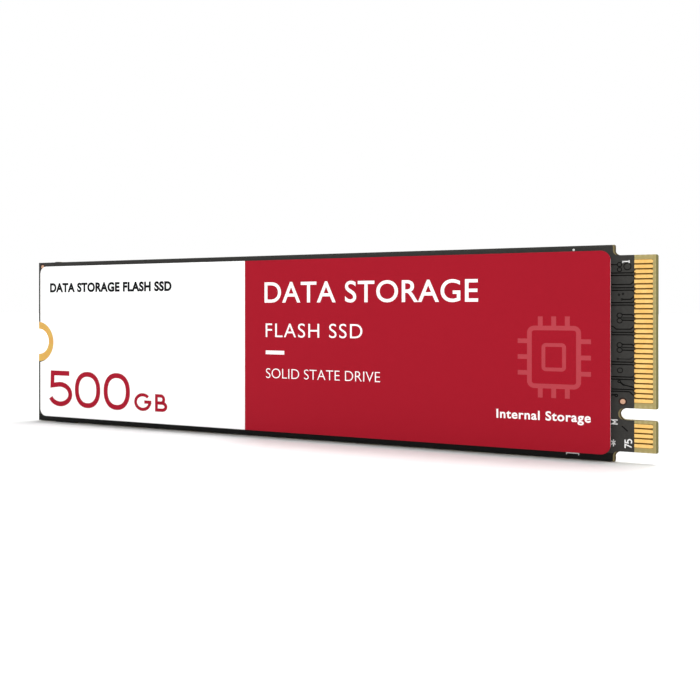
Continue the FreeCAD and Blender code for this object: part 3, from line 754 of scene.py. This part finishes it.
def lettering(name, words, page, start, length, capitals, finish, weight=0.0, spacing=1.0):
    """Text in the plain built-in face, from start, fitted to a length and a capital height."""
    curve = bpy.data.curves.new(name, "FONT")
    curve.body = words
    curve.offset = weight
    curve.space_character = spacing
    curve.extrude = 0.5
    curve.resolution_u = 6
    text = add_object(name + "_curve", curve)
    bpy.context.view_layer.update()
    evaluated = text.evaluated_get(bpy.context.evaluated_depsgraph_get())
    mesh = bpy.data.meshes.new_from_object(evaluated)
    bpy.data.objects.remove(text)
    left = min(v.co.x for v in mesh.vertices)
    right = max(v.co.x for v in mesh.vertices)
    wide = length / (right - left)
    tall = capitals / (CAPITAL + 2 * weight)
    points = []
    for vertex in mesh.vertices:
        u, v = (vertex.co.x - left) * wide, (vertex.co.y + weight) * tall
        points.append(page.point(*page.at(*start, u, v), INK * (vertex.co.z + 0.4)))
    faces = [list(p.vertices) for p in mesh.polygons]
    bpy.data.meshes.remove(mesh)
    piece(name, points, faces, [finish])


def stroke_sides(path, width, closed):
    """The two sides of a stroke of even width along a path."""
    left, right = [], []
    count = len(path)
    for i, (x, z) in enumerate(path):
        before = path[i - 1] if closed or i else None
        after = path[(i + 1) % count] if closed or i < count - 1 else None
        into = unit(before, (x, z)) if before else unit((x, z), after)
        out_of = unit((x, z), after) if after else into
        scale = width / 2 / (1 + into[0] * out_of[0] + into[1] * out_of[1])
        nx, nz = -(into[1] + out_of[1]) * scale, (into[0] + out_of[0]) * scale
        left.append((x + nx, z + nz))
        right.append((x - nx, z - nz))
    return left, right


def unit(a, b):
    length = math.hypot(b[0] - a[0], b[1] - a[1])
    return (b[0] - a[0]) / length, (b[1] - a[1]) / length


def stroke(solid, path, width, page, closed=False):
    """Adds one printed stroke, as a thin solid on the page."""
    top_left, low_left, top_right, low_right = [
        solid.row([page.point(x, z, height) for x, z in side])
        for side in stroke_sides(path, width, closed) for height in (INK, -INK)]
    count = len(path)
    for i in range(count if closed else count - 1):
        j = (i + 1) % count
        solid.face([top_left[i], top_left[j], top_right[j], top_right[i]])
        solid.face([low_right[i], low_right[j], low_left[j], low_left[i]])
        solid.face([low_left[i], low_left[j], top_left[j], top_left[i]])
        solid.face([top_right[i], top_right[j], low_right[j], low_right[i]])
    if not closed:
        solid.face([top_left[0], top_right[0], low_right[0], low_left[0]])
        solid.face([top_right[-1], top_left[-1], low_left[-1], low_right[-1]])


DIGIT_STROKE = 0.66
DIGITS_TOP = -3.87
DIGITS_FOOT = -8.71
UNIT_STROKE = 0.42
UNIT_TOP = -6.38
UNIT_FOOT = -8.62


def capacity_digits():
    """The large thin capacity figure on the white part, drawn with even strokes."""
    top, foot = DIGITS_TOP - DIGIT_STROKE / 2, DIGITS_FOOT + DIGIT_STROKE / 2
    middle = (top + foot) / 2
    solid = Solid()
    bowl = oval(4.93, foot + 1.33, 1.76, 1.33, 100, -158, 36)
    stroke(solid, [(6.52, top), (3.62, top), (3.56, -5.88)] + bowl, DIGIT_STROKE, LABEL_PAGE)
    for x in (9.62, 14.45):
        ring = oval(x, middle - 0.02, 1.80, (top - foot) / 2, power=2.25)[:-1]
        stroke(solid, ring, DIGIT_STROKE, LABEL_PAGE, closed=True)
    solid.make("capacity_digits", ["ink_red"])


def capacity_unit():
    """The two small letters after the figure."""
    low, high = UNIT_FOOT + UNIT_STROKE / 2, UNIT_TOP - UNIT_STROKE / 2
    middle = (low + high) / 2
    stem = 20.74
    solid = Solid()
    bar = [(19.74, middle - 0.12), (19.74, middle + 0.02), (18.85, middle + 0.02)]
    first = oval(18.60, middle, 1.12, 0.94, 42, 328, 40) + bar
    upper = oval(21.45, (high + middle) / 2, 0.42, (high - middle) / 2, 90, -90, 14)
    lower = oval(21.60, (low + middle) / 2, 0.60, (middle - low) / 2, 90, -90, 14)
    for path in (first,
                 [(stem, low - UNIT_STROKE / 2), (stem, high + UNIT_STROKE / 2)],
                 [(20.8, high)] + upper + [(20.8, middle)],
                 [(21.4, middle)] + lower + [(20.8, low)]):
        stroke(solid, path, UNIT_STROKE, LABEL_PAGE)
    solid.make("capacity_unit", ["ink_red"])


EMBLEM_PLACE = (70.03, -0.48)
EMBLEM_HALF = (2.45, 3.0)         # of the chip's outline, across and up
EMBLEM_STROKE = 0.48
EMBLEM_REACH = 1.2                # of the pins, from the outline
EMBLEM_CORE = 0.42                # the inner outline's share of the outer
EMBLEM_PINS = (-0.55, 0.0, 0.55)  # along a side, as shares of its half


def emblem():
    """A faint generic mark: the outline of a chip with pins on its four sides."""
    x, z = EMBLEM_PLACE
    wide, tall = EMBLEM_HALF
    solid = Solid()
    for share, corner, width in ((1.0, 0.5, EMBLEM_STROKE), (EMBLEM_CORE, 0.25, EMBLEM_STROKE * 0.8)):
        outline = rounded_outline(x - wide * share, x + wide * share,
                                  z - tall * share, z + tall * share, corner)
        stroke(solid, outline, width, LABEL_PAGE, closed=True)
    for offset in EMBLEM_PINS:
        for sign in (-1, 1):
            across, up = x + offset * wide, z + offset * tall
            start, end = sign * (tall + EMBLEM_STROKE / 2), sign * (tall + EMBLEM_REACH)
            stroke(solid, [(across, z + start), (across, z + end)], EMBLEM_STROKE, LABEL_PAGE)
            start, end = sign * (wide + EMBLEM_STROKE / 2), sign * (wide + EMBLEM_REACH)
            stroke(solid, [(x + start, up), (x + end, up)], EMBLEM_STROKE, LABEL_PAGE)
    solid.make("emblem_chip", ["ink_faint"])


def front_print():
    """Generic words, laid out over the label."""
    page = LABEL_PAGE
    lettering("small_title", "DATA STORAGE FLASH SSD", page, (3.16, 6.80), length=19.9,
              capitals=1.26, finish="ink_black", weight=0.048, spacing=1.06)
    lettering("title", "DATA STORAGE", page, (36.4, 5.27), length=25.8,
              capitals=2.43, finish="ink_white", weight=0.008, spacing=1.04)
    lettering("subtitle", "FLASH SSD", page, (36.56, 1.16), length=12.4,
              capitals=1.61, finish="ink_white", weight=-0.004, spacing=1.12)
    lettering("kind_line", "SOLID STATE DRIVE", page, (36.6, -3.74), length=14.5,
              capitals=1.13, finish="ink_white", weight=-0.012)
    lettering("corner_words", "Internal Storage", page, (64.16, -7.02), length=9.5,
              capitals=0.95, finish="ink_white", weight=0.022, spacing=1.1)
    dash = Solid()
    stroke(dash, [(36.56, -0.685), (39.05, -0.685)], 0.45, page)
    dash.make("title_dash", ["ink_white"])
    capacity_digits()
    capacity_unit()
    emblem()


def back_print():
    """Generic marks on the back label, whose text runs towards -X."""
    rng = random.Random(11)
    page = BACK_LABEL_PAGE
    start = back_film_high.x - 2.5
    top = back_film_high.z - 2.2
    lettering("back_title", "SOLID STATE DRIVE", page, (start, top - 1.3), length=19.0,
              capitals=1.5, finish="ink_black", weight=0.012)
    lettering("back_capacity", "500 GB", page, (start, top - 4.6), length=8.6,
              capitals=1.9, finish="ink_black", weight=0.016)
    back_bars(rng, page, start)
    back_square_pattern(rng, page)
    back_rules(rng, page, start)


def back_bars(rng, page, start):
    """A row of upright bars of random widths."""
    solid = Solid()
    x = start
    while x > start - 24.0:
        width = rng.choice((0.15, 0.15, 0.3, 0.45))
        stroke(solid, [(x - width / 2, -6.6), (x - width / 2, -3.2)], width, page)
        x -= width + rng.choice((0.15, 0.3, 0.45))
    solid.make("back_bars", ["ink_black"])


def back_square_pattern(rng, page):
    """A block of random cells with a solid side and a dashed top and foot."""
    solid = Solid()
    side = 0.36
    count = 16
    ink = side * 0.98             # cells don't quite touch
    for row in range(count):
        for column in range(count):
            edge = row in (0, count - 1) and column % 2 == 0 or column == 0
            if edge or rng.random() < 0.45:
                x = back_film_low.x + 3.0 + column * side
                z = -3.2 + row * side
                stroke(solid, [(x, z), (x + ink, z)], ink, page)
    solid.make("back_square_pattern", ["ink_black"])


def back_rules(rng, page, start):
    """Four thin lines of random lengths."""
    solid = Solid()
    for i in range(4):
        end = start - rng.uniform(13.0, 21.0)
        z = 0.9 - i * 0.85
        stroke(solid, [(start, z), (end, z)], 0.16, page)
    solid.make("back_rules", ["ink_grey"])


GLYPHS = {
    "1": [[(0.04, 0.86), (0.24, 0.98)], [(0.24, 1.0), (0.24, 0.0)], [(0.0, 0.0), (0.42, 0.0)]],
    "2": [[(0.02, 0.75), (0.12, 0.93), (0.32, 1.0), (0.54, 0.92), (0.6, 0.7), (0.5, 0.48), (0.0, 0.0),
           (0.64, 0.0)]],
    "4": [[(0.5, 0.0), (0.5, 1.0), (0.0, 0.3), (0.68, 0.3)]],
    "5": [[(0.58, 1.0), (0.1, 1.0), (0.05, 0.56), (0.32, 0.62), (0.56, 0.5), (0.62, 0.28),
           (0.5, 0.06), (0.26, 0.0), (0.0, 0.08)]],
    "7": [[(0.0, 1.0), (0.62, 1.0), (0.2, 0.0)]],
    "M": [[(0.0, 0.0), (0.0, 1.0), (0.38, 0.4), (0.76, 1.0), (0.76, 0.0)]],
    "*": [[(0.0, 0.48), (1.5, 0.48)], [(1.08, 0.02), (1.08, 0.98)], [(0.98, 0.45), (0.38, 0.12)],
          [(0.98, 0.51), (0.38, 0.84)]],
}


def silk_text(name, words, page, x, z, height, advance, weight):
    """Board lettering in even strokes. x, z is the foot of the first letter."""
    solid = Solid()
    for i, letter in enumerate(words):
        for path in GLYPHS[letter]:
            places = [page.at(x, z, i * advance + u * height, v * height) for u, v in path]
            stroke(solid, places, weight, page)
    solid.make(name, ["silk"])


def silk_print():
    """Contact numbers, a key letter and a star on the board, reading up its width."""
    silk_text("silk_first_pin", "1", MASK_PAGE, 77.26, 9.12, 0.66, 0, 0.11)
    silk_text("silk_last_pin", "75", MASK_PAGE, 77.50, -9.55, 0.62, 0.50, 0.12)
    silk_text("silk_key_letter", "M", MASK_PAGE, 76.18, -7.17, 0.54, 0, 0.11)
    silk_text("silk_star", "*", MASK_PAGE, 76.0, -9.45, 0.47, 0, 0.09)
    silk_text("silk_back_first_pin", "2", BACK_MASK_PAGE, 74.0, 8.6, 0.66, 0, 0.12)
    silk_text("silk_back_last_pin", "74", BACK_MASK_PAGE, 74.0, -9.6, 0.62, 0.52, 0.12)


# ---- contacts, ring and the relief of traces under the mask ----

TIP_LENGTH = 0.30
TIP_POWER = 3.0                   # between round, 2, and square
CONTACT_BEVEL = 0.015


def contact_outline(pin, necked, inset):
    """A finger: square at the mask, narrowed there on a signal, and round at its tip."""
    z = pin_z(pin)
    half = CONTACT_WIDTH / 2 - inset
    left = contact_low.x
    right = contact_high.x - inset
    if necked:
        waist = NECK_WIDTH / 2 - inset
        shoulder = left + NECK_LENGTH + inset
        points = [(shoulder, z + half), (shoulder, z + waist), (left, z + waist),
                  (left, z - waist), (shoulder, z - waist), (shoulder, z - half)]
    else:
        points = [(left, z + half), (left, z - half)]
    return points + oval(right - TIP_LENGTH, z, TIP_LENGTH, half, -90, 90, 12, power=TIP_POWER)


def contacts(name, first, replaced, y_base, y_face):
    """The gold fingers of one side, with softened edges."""
    signals = [pin for pair in SIGNAL_PAIRS for pin in (pair, pair + 2)]
    solid = Solid()
    for pin in pins(first):
        necked = pin in signals or first == FIRST_BACK_PIN
        raised_plate(solid, lambda inset: contact_outline(pin, necked, inset), y_base, y_face,
                     CONTACT_BEVEL)
    made = solid.make(name, ["gold"])
    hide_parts(replaced)


RING_STEPS = 64
RIM = 0.02                        # rounding of the ring's outer rim


def screw_ring():
    """The plated half ring: both faces and the wall between them, with rounded rims."""
    outer, inner = plating_high.x, NOTCH_RADIUS
    wall = inner + PLATING
    face = plating_low.y
    laminate = face + PLATING
    front = [(outer, laminate), (outer, face + RIM), (outer - RIM, face), (inner + 0.06, face),
             (inner + 0.015, face + 0.015), (inner, face + 0.06)]
    profile = front + [(r, -y) for r, y in front[::-1]] + [(wall, -laminate), (wall, laminate)]
    solid = Solid()
    rings = [solid.row([(r * x, y, r * z) for r, y in profile])
             for x, z in arc(0, 0, 1, -90, 90, RING_STEPS)]
    for a, b in zip(rings, rings[1:]):
        solid.bridge(a, b)
    solid.face(rings[0])
    solid.face(rings[-1][::-1])
    made = solid.make("screw_ring", ["ring_gold"])
    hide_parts("screw_notch_plating")


RIB_WIDTH = 0.16
RIB_HEIGHT = 0.022
LOW_RIB_HEIGHT = 0.016
VIA_RIB_WIDTH = 0.11
RIB_PROFILE = ((-0.5, -0.8), (-0.42, 0.5), (-0.18, 0.95), (0.18, 0.95), (0.42, 0.5), (0.5, -0.8))


def rib(solid, path, page, width=RIB_WIDTH, height=RIB_HEIGHT, closed=False):
    """A soft round ridge in the mask, over a trace or round a via's ring."""
    rows = []
    for across, up in RIB_PROFILE:
        side, _ = stroke_sides(path, 2 * across * width, closed)
        rows.append(solid.row([page.point(x, z, up * height) for x, z in side]))
    count = len(path)
    for a, b in zip(rows, rows[1:] + rows[:1]):
        for i in range(count if closed else count - 1):
            j = (i + 1) % count
            solid.face([a[i], a[j], b[j], b[i]])
    if not closed:
        solid.face([row[0] for row in rows])
        solid.face([row[-1] for row in rows[::-1]])


def via_ring(solid, x, z, radius, page):
    path = oval(x, z, radius, radius, steps=24)[:-1]
    rib(solid, path, page, width=VIA_RIB_WIDTH, closed=True)


UNDER_LABEL = 74.9                # where the traces end, hidden by the label
BEND = 0.05                       # from a contact to its trace's first bend
PAIR_HALF = 0.125                 # from a pair's middle to each of its traces


def jog(pin, z, left):
    """A trace that leaves its contact, slants across to z, and runs on to left."""
    start = pin_z(pin)
    bend = contact_low.x - BEND
    return [(contact_low.x, start), (bend, start), (bend - abs(z - start), z), (left, z)]


def front_relief():
    """The lines of the traces and vias that show through the mask by the contacts, as ridges in a
    near-black finish that is partly painted shade.
    """
    solid = Solid()
    for first in (5, 11, 17, 29, 41, 47):
        for pin, side in ((first, PAIR_HALF), (first + 2, -PAIR_HALF)):
            rib(solid, jog(pin, pin_z(first + 1) + side, UNDER_LABEL), MASK_PAGE)
    for pin, z in ((53, -3.63), (55, -3.85), (9, 6.96)):
        rib(solid, jog(pin, z, UNDER_LABEL), MASK_PAGE)
    for pin, z, via in ((23, 3.92, 3.83), (25, 3.35, 3.31), (35, 0.92, 0.84), (37, 0.33, 0.33)):
        rib(solid, jog(pin, z, 76.58), MASK_PAGE)
        via_ring(solid, 76.36, via, 0.24, MASK_PAGE)
    for path in (jog(27, 2.44, 76.05) + [(75.75, 2.70), (UNDER_LABEL, 2.70)],
                 jog(15, 5.45, 76.62),
                 [(76.18, 8.98), (UNDER_LABEL, 8.98)],
                 [(75.95, -4.22), (UNDER_LABEL, -4.22)],
                 [(contact_low.x, -3.39), (77.15, -3.27), (76.72, -3.18), (76.42, -2.92)]):
        rib(solid, path, MASK_PAGE)
    rib(solid, jog(39, -0.57, 76.24), MASK_PAGE, height=LOW_RIB_HEIGHT)
    rib(solid, [(77.12, -7.84), (76.58, -7.34)], MASK_PAGE, width=0.12)
    for z in (3.58, 0.60):
        rib(solid, [(contact_low.x, z), (76.6, z)], MASK_PAGE, width=0.08, height=LOW_RIB_HEIGHT)
    for radius, places in ((0.33, [(77.10, 8.77)]),
                           (0.24, [(76.40, -1.72)]),
                           (0.20, [(76.35, 8.98), (76.35, 8.47)]),
                           (0.12, [(76.32, -2.84), (76.05, -4.28)]),
                           (0.08, [(76.30, 5.93), (76.68, 6.02), (76.58, 5.45), (76.20, -0.57)])):
        for x, z in places:
            via_ring(solid, x, z, radius, MASK_PAGE)
    solid.make("front_trace_relief", ["mask_over_trace_painted_shade"], smooth=True)


def back_relief():
    """A short line and a via at each back contact that isn't a supply, in two rows."""
    ring = 0.22
    solid = Solid()
    for pin in pins(FIRST_BACK_PIN):
        if pin in SUPPLY_PINS:
            continue
        second_row = (pin // 2) % 2
        x = contact_low.x - 0.65 - 0.5 * second_row
        z = pin_z(pin)
        rib(solid, [(contact_low.x, z), (x + ring, z)], BACK_MASK_PAGE)
        via_ring(solid, x, z, ring, BACK_MASK_PAGE)
    # the ridges' near-black finish is partly painted shade
    solid.make("back_trace_relief", ["mask_over_trace_painted_shade"], smooth=True)


# ---- stage, light and camera ----

FLOOR_HALF = 3.0                          # metres
FLOOR_GAP = 0.00002                       # between the card's edge and the floor, in metres
PAPER = (0.90, 0.90, 0.90)
GLOW = 0.9
GLOW_RANGE = (150.0, 500.0)               # where the floor's glow grows, in mm from the notch
BACKDROP_TOP = 0.45                       # sines of the heights where the backdrop dims
CEILING_FROM = 0.70
CEILING = 0.35
LIGHTS_AIM = (0.04, 0.0, 0.0)             # the card's middle, in metres
CAMERA_PLACE = (78.45, -78.88, 4.335)     # millimetres
CAMERA_TURN = 21.85                       # degrees from straight on, towards -X
CAMERA_SENSOR = 36.0
CAMERA_LENS = 37.435
CAMERA_SHIFT_Y = -0.0565
CAMERA_CLIP = (0.002, 20.0)               # metres


def softbox(name, place, size, power):
    """A rectangular light aimed at the card. Its place and size are in metres."""
    light = bpy.data.lights.new(name, "AREA")
    light.shape = "RECTANGLE"
    light.size, light.size_y = size
    light.energy = power
    lamp = add_object(name, light)
    lamp.location = place
    lamp.rotation_euler = (Vector(LIGHTS_AIM) - Vector(place)).to_track_quat("-Z", "Y").to_euler()


def floor():
    """Pale paper under the card. It glows further out, so that it meets the backdrop unseen."""
    z = cad_box[0][2] - FLOOR_GAP
    corners = [(-FLOOR_HALF, -FLOOR_HALF, z), (FLOOR_HALF, -FLOOR_HALF, z),
               (FLOOR_HALF, FLOOR_HALF, z), (-FLOOR_HALF, FLOOR_HALF, z)]
    mesh = bpy.data.meshes.new("floor")
    mesh.from_pydata(corners, [], [(0, 1, 2, 3)])
    surface = grained("floor_paper", PAPER, 0.8, grain_per_mm=0.4, contrast=0.01,
                      depth_mm=0.002, specular=0.1)
    x, y, _ = surface.separate()
    distance = surface.math("SQRT", distance_squared(surface, (x, y), (0.0, 0.0)))
    glow = surface.map_range(distance, GLOW_RANGE, (0.0, GLOW))
    surface.shader.inputs["Emission Color"].default_value = (1, 1, 1, 1)
    surface.link(glow, surface.shader.inputs["Emission Strength"])
    mesh.materials.append(surface.material)
    ground = add_object("floor", mesh)


def world():
    """A white backdrop all round, dimmer overhead."""
    sky = bpy.data.worlds.new("studio")
    sky.use_nodes = True
    tree = sky.node_tree
    direction = tree.nodes.new("ShaderNodeTexCoord").outputs["Generated"]
    height = tree.nodes.new("ShaderNodeSeparateXYZ")
    ramp = tree.nodes.new("ShaderNodeValToRGB")
    low, high = ramp.color_ramp.elements
    low.position, low.color = BACKDROP_TOP, (1, 1, 1, 1)
    high.position, high.color = CEILING_FROM, (CEILING, CEILING, CEILING, 1)
    tree.links.new(direction, height.inputs["Vector"])
    tree.links.new(height.outputs["Z"], ramp.inputs["Fac"])
    tree.links.new(ramp.outputs["Color"], tree.nodes["Background"].inputs["Color"])
    bpy.context.scene.world = sky


def camera():
    """A level camera in front of the contact end, turned towards the card's middle."""
    data = bpy.data.cameras.new("camera")
    data.sensor_width = CAMERA_SENSOR
    data.lens = CAMERA_LENS
    data.shift_y = CAMERA_SHIFT_Y
    data.clip_start, data.clip_end = CAMERA_CLIP
    view = add_object("camera", data)
    view.location = Vector(CAMERA_PLACE) * MM
    view.rotation_euler = (math.radians(90), 0, math.radians(CAMERA_TURN))
    bpy.context.scene.camera = view


def lights():
    """A wide softbox in front, and one over and just behind the card."""
    softbox("front_softbox", (-0.10, -0.52, 0.40), (0.6, 0.30), 1.6)
    softbox("top_softbox", (0.15, 0.106, 0.60), (0.32, 0.32), 3.5)


# ---- assembly ----

dress_cad_nodes()
front_label()
back_label()
front_print()
back_print()
silk_print()
half_board = (board_high.y - board_low.y) / 2
contacts("front_contact_fingers", FIRST_PIN, "front_contacts", -half_board, contact_low.y)
contacts("back_contact_fingers", FIRST_BACK_PIN, "back_contacts", half_board, back_contact_high.y)
screw_ring()
front_relief()
back_relief()
floor()
world()
lights()
camera()
bpy.context.scene.view_settings.view_transform = "Standard"
